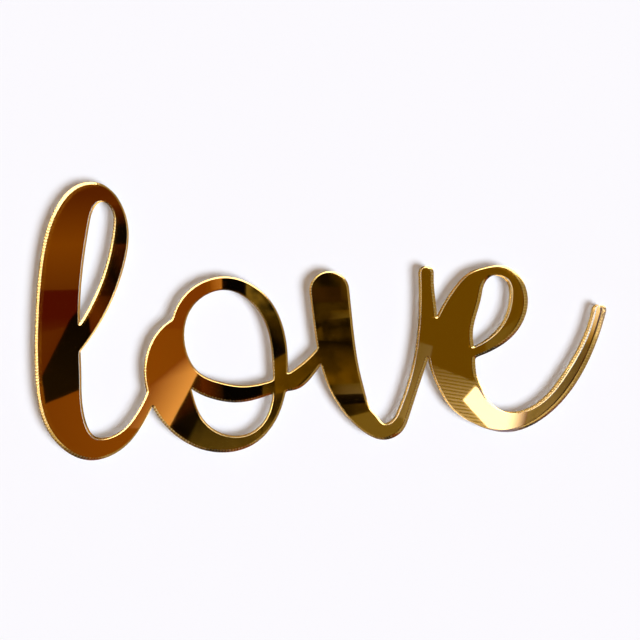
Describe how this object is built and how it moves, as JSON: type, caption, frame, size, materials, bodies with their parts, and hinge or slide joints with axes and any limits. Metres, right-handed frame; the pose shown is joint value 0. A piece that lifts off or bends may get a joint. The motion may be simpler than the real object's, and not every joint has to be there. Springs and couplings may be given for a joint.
{
  "type": "cake topper",
  "caption": "Flat cake topper: a joined script word laser-cut from gold mirror acrylic, laid on or pressed against the icing by its plain back.",
  "frame": {"origin": "middle of the word's box in X and Y, on the painted back that it lies on", "axes": "+X along the line of writing in reading direction, +Y up the letters, +Z out of the mirror's face"},
  "size_m": [0.15, 0.0708, 0.003],
  "materials": {
    "clear_acrylic": "polished face, laser-cut edge",
    "gold_lacquer": "transparent gold tint, seen as gold against the metal",
    "aluminium_mirror": "vacuum-metallised mirror",
    "grey_paint": "sprayed protective paint, matt"
  },
  "bodies": {
    "root": {"acrylic_sheet": "clear_acrylic", "gold_lacquer": "gold_lacquer", "mirror_coat": "aluminium_mirror", "back_paint": "grey_paint"}
  },
  "joints": []
}
